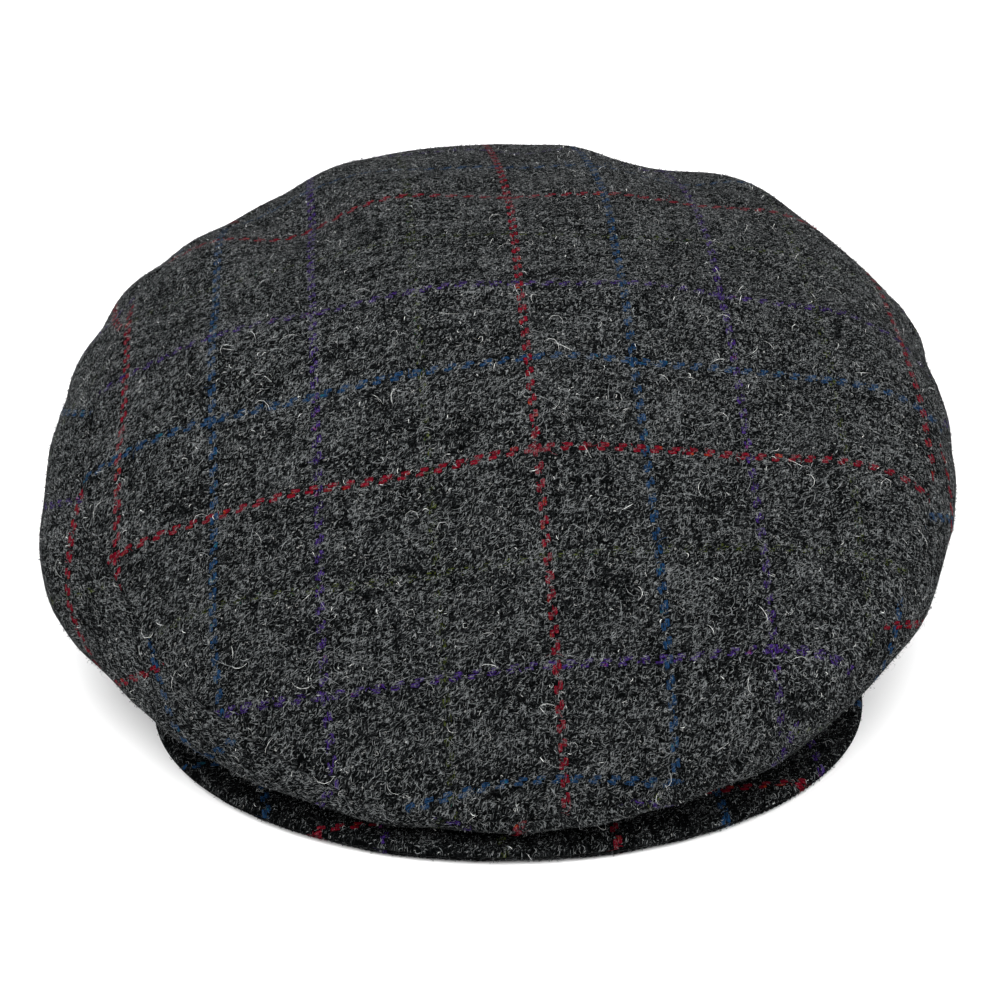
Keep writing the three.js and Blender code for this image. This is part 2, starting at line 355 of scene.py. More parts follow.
def path_length(points):
    """Distance along each row of points from its first one."""
    steps = np.linalg.norm(np.diff(points, axis=1), axis=-1)
    return np.concatenate([steps[:, :1] * 0, np.cumsum(steps, axis=1)], 1)


# Where the check lies on the cloth


def arc_table(reach, rise, power):
    """Arc length against distance from the centre line, over one half section of the crown."""
    x = np.linspace(0, 0.97, 300)
    z = rise * np.cos(np.arcsin(x)) ** power
    arc = np.concatenate([[0], np.cumsum(np.hypot(np.diff(x) * reach, np.diff(z)))])
    steepest = (arc[-1] - arc[-2]) / ((x[-1] - x[-2]) * reach)
    far = 2 * reach
    return np.append(x * reach, far), np.append(arc, arc[-1] + steepest * (far - x[-1] * reach))


ACROSS = arc_table(CROWN_HALF_WIDTH, CROWN_HEIGHT - EDGE_HEIGHT["side"], SLOPE_POWER["side"])
AHEAD = arc_table(CROWN_FRONT["reach"], CROWN_HEIGHT - EDGE_HEIGHT["front"], SLOPE_POWER["front"])
BEHIND = arc_table(CROWN_BACK["reach"], CROWN_HEIGHT - EDGE_HEIGHT["back"], SLOPE_POWER["back"])


def cloth_y(y):
    """Distance along the cloth from the crown's centre to a place at y, positive to the back."""
    away = y - CROWN_CENTRE_Y
    return np.where(away < 0, -np.interp(-away, *AHEAD), np.interp(away, *BEHIND))


def row_number(y):
    """How many rows of the check lie between the first red row and a place at y."""
    arc = cloth_y(y)
    places = cloth_y(np.array([row[0] for row in CHECK_ROWS], float))
    numbers = np.array([row[1] for row in CHECK_ROWS], float)
    check = CHECK_YARNS * YARN
    before = np.minimum(arc - places[0], 0) / check
    after = np.maximum(arc - places[-1], 0) / check
    return np.interp(arc, places, numbers) + before + after


def pulled(x, y, pulls):
    """The sum of a table's soft pulls, each one strongest at its own place."""
    total = 0 * x
    for pull in pulls:
        away = np.hypot(x - pull["x"], y - pull["y"]) / pull["spread"]
        total = total + pull["by"] * np.exp(-away * away)
    return total


def top_weave(x, y):
    """The top panel's place in the weave, in yarns."""
    across = x + CHECK_SKEW_X * y - RED_COLUMN_X + pulled(x, y, COLUMN_PULLS)
    along = y + CHECK_SKEW_Y * x + pulled(x, y, ROW_PULLS)
    u = np.sign(across) * np.interp(np.abs(across), *ACROSS)
    return np.stack([u / YARN, row_number(along) * CHECK_YARNS], -1)


def peak_weave(x, y):
    """The peak's place in the weave, in yarns: its cloth is stretched a little across."""
    across = (x + CHECK_SKEW_X * y - PEAK_RED_COLUMN_X) / PEAK_STRETCH
    return np.stack([across, y + CHECK_SKEW_Y * x - PEAK_RED_ROW_Y], -1) / YARN


# Meshes


class Cloth:
    """Collects the grids of one closed piece of cloth, with its place in the weave and a flat layout."""

    def __init__(self):
        self.count = 0
        self.points = []
        self.faces = {3: [], 4: []}
        self.weave = {3: [], 4: []}
        self.layout = {3: [], 4: []}

    def add(self, points):
        index = self.count + np.arange(points[..., 0].size).reshape(points.shape[:-1])
        self.points.append(points.reshape(-1, 3))
        self.count += index.size
        return index

    def grid(self, index, weave, layout, inside=False):
        """Faces over a grid of point numbers: bearings or stations along it, rows down it."""

        def corners(a):
            quad = [a[:-1, :-1], a[:-1, 1:], a[1:, 1:], a[1:, :-1]]
            if inside:
                quad.reverse()
            return np.stack(quad, 2).reshape(-1, 4, *a.shape[2:])

        faces = corners(index)
        four = faces[:, 0] != faces[:, 3]
        self.store(4, faces[four], corners(weave)[four], corners(layout)[four])
        # Triangles where the first row of a grid is one point
        self.store(3, faces[~four, :3], corners(weave)[~four, :3], corners(layout)[~four, :3])

    def store(self, sides, faces, weave, layout):
        self.faces[sides].append(faces)
        self.weave[sides].append(weave)
        self.layout[sides].append(layout)

    def build(self, name, material, node):
        corners = np.concatenate([f.reshape(-1) for s in (4, 3) for f in self.faces[s]])
        sides = np.concatenate([np.full(len(f), s) for s in (4, 3) for f in self.faces[s]])
        points = (np.concatenate(self.points) + OFFSET) / 1000
        mesh = new_mesh(name, points, corners, sides)
        for uv_name, stored in (("Weave", self.weave), ("OFBake", self.layout)):
            uv = np.concatenate([w.reshape(-1, 2) for s in (4, 3) for w in stored[s]])
            mesh.uv_layers.new(name=uv_name).data.foreach_set("uv", uv.astype(np.float32).ravel())
        piece = new_piece(name, mesh, [material])
        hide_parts(node)


def new_mesh(name, points, corners, sides):
    mesh = bpy.data.meshes.new(name)
    mesh.vertices.add(len(points))
    mesh.vertices.foreach_set("co", points.astype(np.float32).ravel())
    mesh.loops.add(len(corners))
    mesh.loops.foreach_set("vertex_index", corners.astype(np.int32))
    mesh.polygons.add(len(sides))
    starts = np.concatenate([[0], np.cumsum(sides)[:-1]]).astype(np.int32)
    mesh.polygons.foreach_set("loop_start", starts)
    mesh.update(calc_edges=True)
    mesh.shade_smooth()
    return mesh


def new_piece(name, mesh, materials):
    for material in materials:
        mesh.materials.append(material)
    piece = bpy.data.objects.new(name, mesh)
    bpy.context.scene.collection.objects.link(piece)
    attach(piece, "root")
    return piece


def closed(grid):
    """Repeats a grid's first line after its last one, to close a ring."""
    return np.concatenate([grid, grid[:1]])


def spread(count):
    """Shares from 0 to 1, closer together towards 1."""
    return 1 - (1 - np.linspace(0, 1, count)) ** ROW_CROWDING


# The flat layout of a piece of cloth: strips between two heights, and discs of a middle and a radius
STRIPS = {
    "outside": (0.01, 0.5),
    "inside": (0.53, 0.88),
    "first_edge": (0.9, 0.915),
    "last_edge": (0.92, 0.935),
    "first_end": (0.94, 0.96),
    "last_end": (0.965, 0.985),
    "rim": (0.74, 0.76),
}
DISCS = {"outside": ((0.36, 0.36), 0.35), "inside": ((0.86, 0.14), 0.13)}
STRIP_MARGIN = 0.01


def strip_layout(shape, strip):
    """A flat layout for a grid: a strip across the whole square."""
    along = np.linspace(STRIP_MARGIN, 1 - STRIP_MARGIN, shape[0])[:, None]
    down = np.linspace(*STRIPS[strip], shape[1])[None, :]
    return np.stack([along + 0 * down, down + 0 * along], -1)


def disc_layout(bearing, share, disc):
    middle, radius = DISCS[disc]
    x = middle[0] + radius * share * np.sin(bearing)
    y = middle[1] - radius * share * np.cos(bearing)
    return np.stack([x, y], -1)


def close_gap(cloth, first, second, weave, strip, axis=1):
    """Faces between two lines of points: along an edge of the grid, or at an end of it, on axis 0."""
    both = np.stack([weave, weave + [CLOTH_WALL / YARN, 0]], axis)
    layout = strip_layout((len(first), 2), strip)
    cloth.grid(np.stack([first, second], axis), both, layout if axis else layout.transpose(1, 0, 2))


def close_panel(cloth, outer, inner, weave, mirrored=False):
    """All the faces of a long panel: its outside, its inside, its two edges and its two ends."""
    out_index = cloth.add(outer)
    in_index = cloth.add(inner)
    shape = out_index.shape
    cloth.grid(out_index, weave, strip_layout(shape, "outside"), inside=mirrored)
    cloth.grid(in_index, weave, strip_layout(shape, "inside"), inside=not mirrored)
    gaps = (
        (in_index[:, 0], out_index[:, 0], weave[:, 0], "first_edge", 1),
        (out_index[:, -1], in_index[:, -1], weave[:, -1], "last_edge", 1),
        (in_index[0], out_index[0], weave[0], "first_end", 0),
        (out_index[-1], in_index[-1], weave[-1], "last_end", 0),
    )
    for first, second, line, strip, axis in gaps:
        first, second = (second, first) if mirrored else (first, second)
        close_gap(cloth, first, second, line, strip, axis)


def top_panel(material):
    bearing = np.radians(360 * np.arange(BEARINGS) / BEARINGS)[:, None]
    slope = seam_slope(bearing)
    slope = spread(TOP_ROWS) * (slope - seam_step(bearing, slope))
    r, z = top_rows(bearing, slope)
    outer = place(bearing, r, z, 1.0)
    length = path_length(outer)
    away = length[:, -1:] - length
    normal = grid_normals(outer, True)
    normal[:, 0] = [0, 0, 1]
    relief = seam_relief(away, outer) + waves(outer, TOP_WAVES, SEEDS["top_waves"])
    outer = outer + normal * relief[..., None]
    outer[:, 0] = outer[:, 0].mean(0)
    weave = top_weave(r * np.sin(bearing), CROWN_CENTRE_Y - r * np.cos(bearing))

    cloth = Cloth()
    few = np.append(np.arange(0, TOP_ROWS - 1, TOP_INNER_STEP), TOP_ROWS - 1)
    inner = outer[:, few] - CLOTH_WALL * normal[:, few]
    out_index = cloth.add(outer)
    in_index = cloth.add(inner)
    out_index[:, 0] = out_index[0, 0]
    in_index[:, 0] = in_index[0, 0]
    share = length / length[:, -1:]
    flat_out = disc_layout(bearing, share, "outside")
    flat_in = disc_layout(bearing, share[:, few], "inside")
    cloth.grid(closed(out_index), closed(weave), closed(flat_out))
    cloth.grid(closed(in_index), closed(weave[:, few]), closed(flat_in), inside=True)
    close_gap(cloth, closed(out_index[:, -1]), closed(in_index[:, -1]), closed(weave[:, -1]), "rim")
    cloth.build("top_panel", material, "crown_top")
    return {"points": outer, "normal": normal, "weave": weave}


# Side panels: the place in the weave of each one's front end, then at distances from the front
# the turn of its upright rows from the warp, and how much cloth is eased into each bit of seam
SIDE_GRAIN = {
    1: {
        "start": (-77, 120),
        "at": (60, 120, 175, 400),
        "turn": (-65, -63, -47, -87),
        "ease": (1, 1, 1, 1),
    },
    -1: {
        "start": (88, 57),
        "at": (40, 80, 120, 170, 400),
        "turn": (27, 54, 58, 52, 92),
        "ease": (1, 1.18, 1.26, 1.06, 1),
    },
}


def side_weave(side, seam, points, length):
    """A side panel's place in the weave, worked out from its even seam line's."""
    length = length - np.linalg.norm(points[:, 0] - seam, axis=-1)[:, None]
    step = np.gradient(seam, axis=0)
    direction = side * step / np.linalg.norm(step, axis=-1, keepdims=True)
    down = points[:, SHOULDER_ROWS - 1] - seam
    down = down / np.linalg.norm(down, axis=-1, keepdims=True)
    lean = np.arcsin((direction * down).sum(-1))
    along = path_length(seam[None])[0]
    along = along if side > 0 else along[-1] - along
    grain = SIDE_GRAIN[side]
    turn = np.radians(np.interp(along, grain["at"], grain["turn"]))
    ease = np.interp(along, grain["at"], grain["ease"])[:, None]
    seam_turn = turn - side * lean
    heading = side * ease * np.stack([np.cos(seam_turn), np.sin(seam_turn)], -1)
    middle = (heading[1:] + heading[:-1]) / 2 * np.diff(along)[:, None]
    flat_seam = np.concatenate([[[0, 0]], np.cumsum(middle, axis=0)])
    front_end = 0 if side > 0 else -1
    flat_seam = flat_seam - flat_seam[front_end] + grain["start"]
    u = flat_seam[:, :1] + length * np.sin(turn)[:, None]
    v = flat_seam[:, 1:] - length * np.cos(turn)[:, None]
    return np.stack([u, v], -1) / YARN


def side_panel(name, node, side, material):
    count = BEARINGS // 2 + 1
    bearing = np.radians(np.linspace(0, 180, count) if side > 0 else np.linspace(-180, 0, count))[:, None]
    seam = seam_slope(bearing)
    start = seam + seam_step(bearing, seam)
    slope = start + (math.pi / 2 - start) * (1 - spread(SHOULDER_ROWS)[::-1])
    shoulder_r, shoulder_z = top_rows(bearing, slope)
    under_r, under_z = under_rows(bearing)
    r = np.concatenate([shoulder_r, under_r], 1)
    z = np.concatenate([shoulder_z, under_z], 1)
    hem_row = SHOULDER_ROWS + FOLD_ROWS + UNDER_ROWS - 1
    foot_row = hem_row + BAND_ROWS
    settled = settled_share(r, z, SHOULDER_ROWS - 1, hem_row)
    outer = place(bearing, r, z, settled)
    length = path_length(outer)
    even_seam = place(bearing, *top_rows(bearing, seam_slope(bearing, [])), 1.0)[:, 0]
    weave = side_weave(side, even_seam, outer, length)
    normal = grid_normals(outer, False)
    middle_away = CROWN_HALF_WIDTH * np.minimum(np.abs(bearing), math.pi - np.abs(bearing))
    above_hem = length[:, hem_row : hem_row + 1] - length
    free = smoothstep(above_hem, 0, HEM_STIFF)
    relief = seam_relief(length, outer) + free * seam_relief(middle_away, outer)
    relief = relief + free * waves(outer, SIDE_WAVES, SEEDS["side_waves"])
    outer = outer + normal * relief[..., None]
    outer[0, :, 0] += SEAM_GAP / 2 if side > 0 else 0
    outer[-1, :, 0] -= SEAM_GAP / 2 if side < 0 else 0
    wall = CLOTH_WALL + (HEM_WALL - CLOTH_WALL) * smoothstep(-above_hem, -HEM_TURN_UP, 0)
    inner = outer - normal * wall[..., None]
    fold_in = 2 * (r - (hem_radius(bearing) - HEM_WALL / 2))
    radial = np.stack([np.sin(bearing), -np.cos(bearing), 0 * bearing], -1)
    foot = slice(foot_row, None)
    inner[:, foot] = outer[:, foot] - radial * fold_in[:, foot, None]

    cloth = Cloth()
    close_panel(cloth, outer, inner, weave)
    cloth.build(name, material, node)
    return {"points": outer, "normal": normal, "weave": weave}


# Peak


def peak_root(share):
    angle = math.radians(HORN_BEARING) * share
    x = (HEM_HALF_WIDTH + SEAM_GAP) * np.sin(angle)
    return np.stack([x, HEM_CENTRE_Y - (HEM_HALF_LENGTH + SEAM_GAP) * np.cos(angle)], -1)


def peak_edge(share):
    """The peak's outer edge in plan: an oval front, then a curve back to each horn."""
    side = np.sign(share)
    distance = np.abs(share)
    angle = np.minimum(distance / PEAK_FRONT_SHARE, 1) * math.pi / 2
    front_x = PEAK_HALF_WIDTH * np.sin(angle)
    front_y = PEAK_WIDEST_Y - PEAK_REACH * np.cos(angle)
    t = np.clip((distance - PEAK_FRONT_SHARE) / (1 - PEAK_FRONT_SHARE), 0, 1)
    horn = peak_root(np.ones(1))[0] + [HORN_WIDTH, 0]
    x = np.where(t > 0, PEAK_HALF_WIDTH + (horn[0] - PEAK_HALF_WIDTH) * t * t, front_x)
    y = np.where(t > 0, PEAK_WIDEST_Y + (horn[1] - PEAK_WIDEST_Y) * t, front_y)
    return np.stack([side * x, y], -1)


# The twill's teeth, which show where the cloth is pressed round the peak's edge
TWILL_TOOTH = {"height": 0.16, "length": 1.55}
TOOTH_REACH = 4.4

# The peak's depth at its middle, and the share of it at the root where the cloth is held flat
PEAK_DEPTH = 60
HELD_SHARE = 0.1

# How far a cover is drawn in, so that its waves stay within the peak's thickness, and the least
# height off the peak's middle plane at which that is done
COVER_TUCK = 0.15
COVER_LEAST_HEIGHT = 0.6


def peak_cover(name, node, upper, material):
    share = np.linspace(-1, 1, PEAK_STATIONS)
    root = peak_root(share)
    edge = peak_edge(share)
    width = np.linalg.norm(edge - root, axis=-1)[:, None]
    radius = np.minimum(PEAK_EDGE_RADIUS, HORN_EDGE_SHARE * width)
    middle = PEAK_THICKNESS / 2
    flat = np.linspace(0, 1, PEAK_FLAT_ROWS)[None, :-1] * (1 - radius / width)
    turn = np.radians(PEAK_EDGE_TURN) * np.linspace(0, 1, PEAK_EDGE_ROWS)[None, :]
    bend = 1 - (radius / width) * (1 - np.sin(turn))
    t = np.concatenate([flat, bend], 1)
    height = np.concatenate([middle + 0 * flat, middle * np.cos(turn) + 0 * bend], 1)
    plan = root[:, None] + (edge - root)[:, None] * t[..., None]
    sign = 1 if upper else -1
    outer = np.concatenate([plan, (middle + sign * height)[..., None]], -1)
    lift = np.full_like(height, middle + sign * SEAM_GAP / 2)
    inner = np.concatenate([plan, lift[..., None]], -1)
    along = path_length(outer.transpose(1, 0, 2)).T
    weave = peak_weave(plan[..., 0], plan[..., 1]) * [1, sign]
    normal = sign * grid_normals(outer, False)
    tooth = TWILL_TOOTH["height"] * np.sin(2 * math.pi * along / TWILL_TOOTH["length"])
    at_edge = smoothstep(t, 1 - TOOTH_REACH / PEAK_DEPTH, 1)
    off_root = smoothstep(t, 0, HELD_SHARE)
    relief = off_root * waves(outer, PEAK_WAVES, SEEDS["peak_waves"]) - COVER_TUCK + tooth * at_edge
    outer = outer + normal * (relief * (height > COVER_LEAST_HEIGHT))[..., None]
    outer[..., 2] = np.maximum(outer[..., 2], 0)

    cloth = Cloth()
    close_panel(cloth, outer, inner, weave, mirrored=not upper)
    cloth.build(name, material, node)
    return {"points": outer, "normal": normal, "weave": weave}


# Loose wool fibres that stand off the cloth, as narrow ribbons


# Points along a fibre, how deep its ends sink in, how much narrower they are, the least height of
# a fibre over the floor, and how wide a band of fibres takes a check line's colour
FIBRE_POINTS = 5
FIBRE_SINK = 0.12
FIBRE_TAPER = 0.75
FIBRE_CLEARANCE = 0.02
LINE_REACH_YARNS = 1.6

# Half the length and half the width of a fibre in its cell of the flat layout
FIBRE_CELL = (0.35, 0.3)

# Fibres on one square millimetre, their length, width, turn and lift, and how often each tone comes
NAP = {
    "count": 0.4,
    "length": (0.7, 1.8),
    "width": (0.09, 0.17),
    "turn": 1.2,
    "lift": (0.12, 0.6),
    "tones": {"pale": 0.23, "grey": 0.14, "white": 0.02, "dark": 0.61},
}
HAIRS = {
    "count": 0.022,
    "length": (2.4, 6.5),
    "width": (0.07, 0.12),
    "turn": 3.4,
    "lift": (0.4, 1.6),
    "tones": {"pale": 0.66, "grey": 0.16, "white": 0.18},
}
FIBRE_TONES = {
    "pale": (0.162, 0.170, 0.173),
    "grey": (0.0195, 0.021, 0.022),
    "white": (0.48, 0.49, 0.48),
    "dark": (0.0006, 0.0007, 0.0008),
    "red": (0.10, 0.0025, 0.008),
    "blue": (0.006, 0.026, 0.066),
    "purple": (0.027, 0.011, 0.085),
}
TONE_NAMES = list(FIBRE_TONES)
CHECK_COLOURS = ["red", "blue", "purple", None]
DYED_SHARE = {"red": 0.55, "blue": 0.45, "purple": 0.35}


def scatter(panel, count_per_mm2, rng):
    """Random places on a panel's grid, evenly by area: centre, normal, two tangents and weave."""
    points = panel["points"]
    corner = points[:-1, :-1]
    down = points[:-1, 1:] - corner
    along = points[1:, :-1] - corner
    area = np.linalg.norm(np.cross(down, along), axis=-1)
    total = int(area.sum() * count_per_mm2)
    cell = rng.choice(area.size, total, p=(area / area.sum()).ravel())
    i, j = np.unravel_index(cell, area.shape)
    s, t = rng.random((2, total, 1))
    centre = corner[i, j] + down[i, j] * s + along[i, j] * t
    weave = panel["weave"]
    place_in_weave = weave[i, j] + (weave[i, j + 1] - weave[i, j]) * s + (weave[i + 1, j] - weave[i, j]) * t
    normal = panel["normal"][i, j]
    first = along[i, j] - normal * (along[i, j] * normal).sum(-1, keepdims=True)
    first = first / np.maximum(np.linalg.norm(first, axis=-1, keepdims=True), 1e-9)
    return centre, normal, first, np.cross(normal, first), place_in_weave


def line_colour(weave):
    """The check line that each place lies on, as an index into CHECK_COLOURS, or -1."""
    nearest = np.round(weave / CHECK_YARNS)
    near = np.abs(weave - nearest * CHECK_YARNS) < LINE_REACH_YARNS / 2
    colour = np.mod(nearest, len(CHECK_COLOURS)).astype(int)
    found = np.where(near[:, 0], colour[:, 0], -1)
    return np.where(near[:, 1], colour[:, 1], found)


def pick_tones(weave, tones, rng):
    names = list(tones)
    tone = rng.choice([TONE_NAMES.index(name) for name in names], len(weave), p=[tones[n] for n in names])
    colour = line_colour(weave)
    for number, name in enumerate(CHECK_COLOURS):
        if name:
            on_line = (colour == number) & (rng.random(len(weave)) < DYED_SHARE[name])
            tone[on_line] = TONE_NAMES.index(name)
    return tone


def fibres(name, panel, nap, seed, materials):
    """One mesh of curved ribbons, each bowed off the cloth with both ends sunk into it."""
    rng = np.random.default_rng(seed)
    centre, normal, first, second, weave = scatter(panel, nap["count"], rng)
    count = len(centre)
    tone = pick_tones(weave, nap["tones"], rng)
    length = rng.uniform(*nap["length"], (count, 1))
    width = rng.uniform(*nap["width"], (count, 1))
    lift = rng.uniform(*nap["lift"], (count, 1))
    t = np.linspace(-0.5, 0.5, FIBRE_POINTS)[None, :]
    heading = rng.uniform(0, 2 * math.pi, (count, 1)) + rng.normal(0, nap["turn"], (count, 1)) * t
    step = length / (FIBRE_POINTS - 1)
    across = np.cumsum(np.cos(heading) * step, 1)
    upwards = np.cumsum(np.sin(heading) * step, 1)
    across -= across[:, [FIBRE_POINTS // 2]]
    upwards -= upwards[:, [FIBRE_POINTS // 2]]
    height = lift * (1 - (2 * t) ** 2) - FIBRE_SINK * np.abs(2 * t)
    taper = 0.5 * width * (1 - FIBRE_TAPER * (2 * np.abs(t)) ** 2)
    side_u = -np.sin(heading) * taper
    side_v = np.cos(heading) * taper

    def in_space(u, v):
        flat = first[:, None] * u[..., None] + second[:, None] * v[..., None]
        return centre[:, None] + flat + normal[:, None] * height[..., None]

    edges = [in_space(across + sign * side_u, upwards + sign * side_v) for sign in (-1, 1)]
    ribbons = np.stack(edges, 2)
    above_floor = ribbons[..., 2].min(axis=(1, 2)) > FIBRE_CLEARANCE
    ribbons, tone = ribbons[above_floor], tone[above_floor]
    count = len(ribbons)
    base = (np.arange(count) * FIBRE_POINTS * 2)[:, None] + (np.arange(FIBRE_POINTS - 1) * 2)[None, :]
    quads = np.stack([base, base + 1, base + 3, base + 2], -1).reshape(-1, 4)
    points = (ribbons.reshape(-1, 3) + OFFSET) / 1000
    mesh = new_mesh(name, points, quads.ravel(), np.full(len(quads), 4))
    mesh.polygons.foreach_set("material_index", np.repeat(tone, FIBRE_POINTS - 1).astype(np.int32))
    mesh.uv_layers.new(name="OFBake").data.foreach_set("uv", fibre_layout(count).ravel())
    new_piece(name, mesh, materials)


def fibre_layout(count):
    """A flat layout for fibres: one small cell each, in a square of cells."""
    side = math.ceil(math.sqrt(count))
    cell = np.stack(np.unravel_index(np.arange(count), (side, side)), -1)[:, None, None] + 0.5
    long, wide = FIBRE_CELL
    t = np.linspace(-long, long, FIBRE_POINTS)
    a = np.stack([t[:-1], t[:-1], t[1:], t[1:]], -1)
    b = np.broadcast_to([-wide, wide, wide, -wide], a.shape)
    inside = np.stack([a, b], -1)[None]
    return ((cell + inside) / side).astype(np.float32)


# Materials: how far they mirror, and the strength and the height in metres of their bumps
SHINE = 0.01
TWEED_BUMP = (0.9, 0.0004)
FIBRE_BUMP = (0.2, 0.0001)
FLOOR_BUMP = (0.05, 0.0005)


class Shader:
    """Builds one node material in plain calls."""

    def __init__(self, name):
        self.material = bpy.data.materials.new(name)
        self.material.use_nodes = True
        self.tree = self.material.node_tree
        self.tree.nodes.clear()

    def node(self, kind, inputs=(), **settings):
        node = self.tree.nodes.new(kind)
        for key, value in settings.items():
            setattr(node, key, value)
        for key, value in dict(inputs).items():
            self.put(node.inputs[key], value)
        return node

    def put(self, socket, value):
        if isinstance(value, bpy.types.NodeSocket):
            self.tree.links.new(value, socket)
        else:
            socket.default_value = value

    def math(self, operation, *values):
        return self.node("ShaderNodeMath", enumerate(values), operation=operation).outputs[0]

    def ramp(self, value, low, high):
        """0 below low, 1 above high, and smooth between them."""
        inputs = {"Value": value, "From Min": low, "From Max": high}
        return self.node("ShaderNodeMapRange", inputs, interpolation_type="SMOOTHSTEP").outputs[0]

    def noise(self, vector, scale, detail=0.0):
        inputs = {"Vector": vector, "Scale": scale, "Detail": detail}
        return self.node("ShaderNodeTexNoise", inputs, noise_dimensions="3D").outputs["Fac"]

    def mix(self, share, first, second):
        node = self.node("ShaderNodeMix", data_type="RGBA")
        self.put(node.inputs[0], share)
        self.put(node.inputs[6], first)
        self.put(node.inputs[7], second)
        return node.outputs[2]

    def at(self, u, v, layer):
        """A point in one layer of a noise, so that two layers don't match."""
        return self.node("ShaderNodeCombineXYZ", {"X": u, "Y": v, "Z": layer * 7.3}).outputs[0]

    def finish(self, colour, roughness, height, strength, distance):
        """A dull surface with a bump of that strength, and of that height in metres."""
        bump = self.node("ShaderNodeBump", {"Height": height, "Strength": strength, "Distance": distance})
        shader = self.node("ShaderNodeBsdfPrincipled", {
            "Base Color": colour,
            "Roughness": roughness,
            "Specular IOR Level": SHINE,
            "Normal": bump.outputs[0],
        })
        output = self.node("ShaderNodeOutputMaterial")
        self.tree.links.new(shader.outputs[0], output.inputs["Surface"])
        return self.material


def rgba(colour, share=1.0):
    return (*(share * c for c in colour), 1.0)


# Tones of the tweed, and how much of it each kind of fibre covers
TWEED = {
    "shadow": (0.0004, 0.0005, 0.0006),
    "wool": (0.0035, 0.0039, 0.0042),
    "grey": (0.0136, 0.0147, 0.0154),
    "pale": (0.150, 0.158, 0.160),
    "white": (0.36, 0.36, 0.35),
}

# The check's lines in turn, red, blue, purple and olive: colour, flecks in it, how fully it shows
CHECK_LINES = [
    {"colour": (0.102, 0.0022, 0.0080), "fleck": (0.21, 0.026, 0.005), "shows": 0.84},
    {"colour": (0.0055, 0.024, 0.063), "fleck": (0.004, 0.060, 0.085), "shows": 0.66},
    {"colour": (0.026, 0.010, 0.085), "fleck": (0.10, 0.014, 0.07), "shows": 0.54},
    {"colour": (0.034, 0.044, 0.008), "fleck": (0.006, 0.050, 0.044), "shows": 0.46},
]

# Fibres in the cloth's surface: direction, length and width in yarns, and where they begin to show
FIBRE_LAYERS = [
    {"tone": "grey", "turn": 55, "long": 1.05, "wide": 0.21, "from": 0.61},
    {"tone": "grey", "turn": 12, "long": 0.98, "wide": 0.2, "from": 0.62},
    {"tone": "grey", "turn": -40, "long": 0.95, "wide": 0.2, "from": 0.63},
    {"tone": "pale", "turn": 75, "long": 0.95, "wide": 0.19, "from": 0.67},
    {"tone": "pale", "turn": 32, "long": 1.02, "wide": 0.19, "from": 0.67},
    {"tone": "pale", "turn": -15, "long": 0.9, "wide": 0.19, "from": 0.69},
]


def yarn_top(s, across, along):
    """How high a yarn stands, from a place across it and one along its two crossings."""
    off = s.math("SUBTRACT", across, 0.5)
    rounded = s.math("MULTIPLY_ADD", s.math("MULTIPLY", off, off), -4.0, 1.0)
    return s.math("MULTIPLY", rounded, s.math("SINE", s.math("MULTIPLY", along, math.pi / 2)))


def yarn_cells(s, u, v):
    """The twill: which yarn is on top, how high it stands, and the yarns' numbers."""
    i = s.math("FLOOR", u)
    j = s.math("FLOOR", v)
    in_u = s.math("FRACT", u)
    in_v = s.math("FRACT", v)
    step = s.math("FLOORED_MODULO", s.math("SUBTRACT", i, j), 4.0)
    warp = s.math("LESS_THAN", step, 1.5)
    high_warp = yarn_top(s, in_u, s.math("ADD", in_v, s.math("SUBTRACT", 1.0, step)))
    high_weft = yarn_top(s, in_v, s.math("ADD", in_u, s.math("SUBTRACT", step, 2.0)))
    height = s.math("ADD", s.math("MULTIPLY", warp, high_warp),
                    s.math("MULTIPLY", s.math("SUBTRACT", 1.0, warp), high_weft))
    return i, j, warp, height


def yarn_noise(s, warp, on_warp, on_weft, grain, layer):
    """A noise drawn out along the yarn that is on top."""
    across, along = grain["across"], grain["along"]
    warp_u, warp_v = s.math("MULTIPLY", on_warp[0], across), s.math("MULTIPLY", on_warp[1], along)
    weft_u, weft_v = s.math("MULTIPLY", on_weft[0], along), s.math("MULTIPLY", on_weft[1], across)
    by_warp = s.noise(s.at(warp_u, warp_v, layer), 1.0, 1.0)
    by_weft = s.noise(s.at(weft_u, weft_v, layer + 1), 1.0, 1.0)
    return s.math("MULTIPLY_ADD", s.math("SUBTRACT", by_warp, by_weft), warp, by_weft)


def strokes(s, u, v, layer, scale, width, cover):
    """Short curly fibres: pieces of the contour lines of a noise."""
    field = s.noise(s.at(u, v, layer), scale, 0.6)
    away = s.math("ABSOLUTE", s.math("SUBTRACT", field, 0.5))
    line = s.math("SUBTRACT", 1.0, s.ramp(away, 0.25 * width, width))
    mask = s.ramp(s.noise(s.at(u, v, layer + 1), scale * 0.8), 1 - cover, 1.06 - cover)
    return s.math("MULTIPLY", line, mask)


def dashes(s, u, v, layer, kind, fineness, drift):
    """Short straight fibres that lie in one direction: the tops of a stretched noise."""
    turn = math.radians(kind["turn"])
    long = kind["long"] / fineness
    wide = kind["wide"] / fineness
    c, n = math.cos(turn), math.sin(turn)
    along = s.math("ADD", s.math("MULTIPLY", u, c / long), s.math("MULTIPLY", v, n / long))
    across = s.math("SUBTRACT", s.math("MULTIPLY", v, c / wide), s.math("MULTIPLY", u, n / wide))
    field = s.math("ADD", s.noise(s.at(along, across, layer), 1.0), drift)
    return s.ramp(field, kind["from"], kind["from"] + 0.07)


# How fast the tone changes from yarn to yarn, along one yarn and over a patch, and by how much
HEATHER = {"across": 0.61, "along": 0.06, "patch": 0.11, "yarn_share": 0.24, "patch_share": 0.12}


